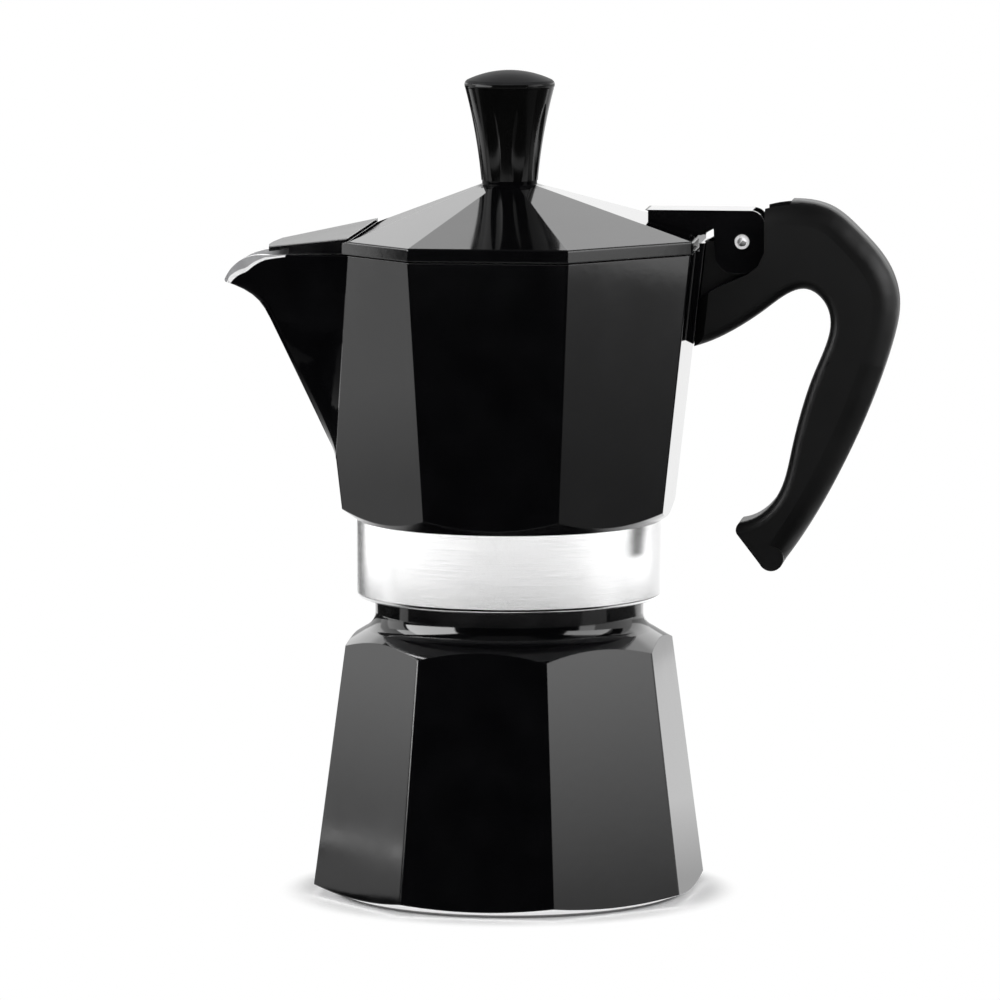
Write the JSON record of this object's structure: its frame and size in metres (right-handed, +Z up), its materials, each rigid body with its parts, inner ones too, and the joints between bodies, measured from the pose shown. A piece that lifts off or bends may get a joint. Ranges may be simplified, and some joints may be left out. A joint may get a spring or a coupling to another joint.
{
  "type": "moka pot",
  "caption": "Stovetop coffee pot with a faceted boiler, a screwed-on faceted jug with a prow spout, a hinged lid, a side handle and a safety valve.",
  "frame": {"origin": "on the pot's axis, at the flat underside of the boiler", "axes": "+Z up along the pot's axis, +X towards the handle, -X towards the spout, +Y towards the safety valve"},
  "size_m": [0.1776, 0.1001, 0.2166],
  "materials": {
    "enamelled_aluminium": "gloss black enamel outside, bare aluminium inside, on the collar and under the base",
    "bare_aluminium": "satin",
    "brass": "machined",
    "spring_steel": "drawn wire",
    "seal_rubber": "matt",
    "black_plastic": "satin black",
    "gloss_black_plastic": "gloss black",
    "bright_steel": "bright"
  },
  "bodies": {
    "boiler": {"boiler": "enamelled_aluminium", "valve_body": "brass", "valve_seal": "seal_rubber", "valve_cap": "brass", "valve_spring": "spring_steel"},
    "valve_stem": {"valve_stem": "brass"},
    "funnel": {"funnel_cup": "bare_aluminium", "funnel_stem": "bare_aluminium", "funnel_screen": "bare_aluminium"},
    "gasket": {"gasket": "seal_rubber"},
    "jug": {"collector": "enamelled_aluminium", "riser_column": "bare_aluminium", "filter_plate": "bare_aluminium", "handle": "black_plastic", "hinge_pin": "bright_steel"},
    "lid": {"lid": "enamelled_aluminium", "knob": "gloss_black_plastic", "knob_washer": "bright_steel", "knob_screw": "bright_steel"}
  },
  "joints": [
    {"name": "valve_lift", "type": "slide", "parent": "boiler", "child": "valve_stem", "axis": [0.064, 0.9901, 0.1249], "range_m": [0, 0.0015], "stiffness_N_per_m": 1200, "springref_m": -0.0015, "deforming": ["valve_spring"]},
    {"name": "funnel_lift", "type": "slide", "parent": "boiler", "child": "funnel", "axis": [0, 0, 1], "range_m": [0, 0.09]},
    {"name": "thread_advance", "type": "slide", "parent": "funnel", "child": "gasket", "axis": [0, 0, 1], "range_m": [0, 0.0061]},
    {"name": "unscrew", "type": "hinge", "parent": "gasket", "child": "jug", "pos_m": [0, 0, 0.09], "axis": [0, 0, 1], "range_deg": [0, 720]},
    {"name": "lid_hinge", "type": "hinge", "parent": "jug", "child": "lid", "pos_m": [0.0616, 0, 0.1728], "axis": [0, 1, 0], "range_deg": [0, 105]}
  ],
  "couplings": [
    {"joint": "thread_advance", "follows": "unscrew", "m_per_rad": 0.00047746}
  ]
}
